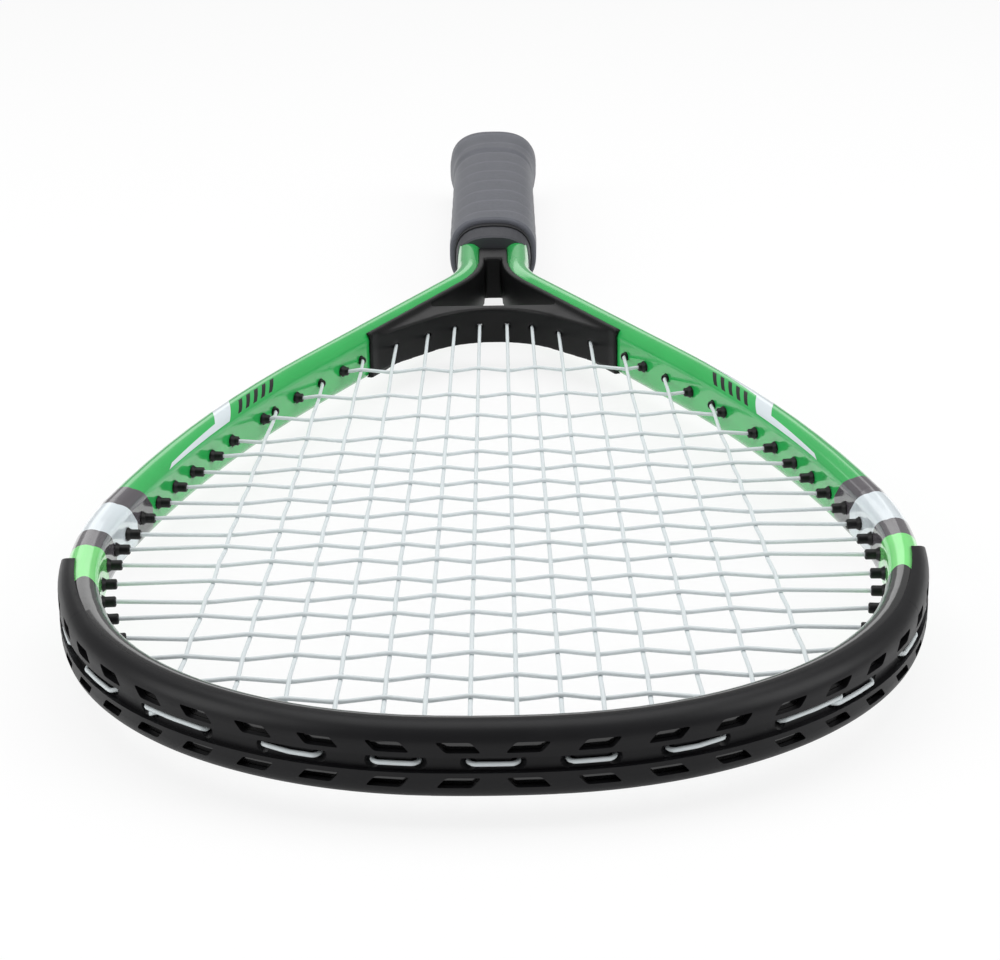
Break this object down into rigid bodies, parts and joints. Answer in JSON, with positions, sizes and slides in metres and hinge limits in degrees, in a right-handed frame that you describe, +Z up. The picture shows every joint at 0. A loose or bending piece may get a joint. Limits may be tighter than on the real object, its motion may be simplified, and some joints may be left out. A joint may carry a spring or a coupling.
{
  "type": "crossminton racket",
  "caption": "Strung crossminton racket with an oval tube hoop, throat yoke, bumper guard with grommets, woven strings and a wrapped handle.",
  "frame": {"origin": "on the floor under the middle of the racket's length and width, with the racket lying level", "axes": "+Y from the tip of the hoop to the butt of the handle, +Z up out of the plane of the strings, +X to the side"},
  "size_m": [0.2174, 0.5858, 0.0296],
  "materials": {
    "frame_paint": "gloss",
    "yoke_plastic": "satin",
    "bumper_plastic": "satin",
    "grommet_plastic": "satin",
    "string": "satin",
    "core_foam": "matte",
    "grip_wrap": "matte",
    "finishing_band": "satin",
    "collar_rubber": "matte",
    "cap_plastic": "satin"
  },
  "bodies": {
    "root": {"frame_tube": "frame_paint", "throat_yoke": "yoke_plastic", "bumper_guard": "bumper_plastic", "grommet_strip_left": "grommet_plastic", "grommet_strip_right": "grommet_plastic", "main_strings": "string", "cross_strings": "string", "handle_core": "core_foam", "grip_tape": "grip_wrap", "finishing_tape": "finishing_band", "grip_collar": "collar_rubber", "butt_cap": "cap_plastic", "butt_disc": "cap_plastic"}
  },
  "joints": []
}
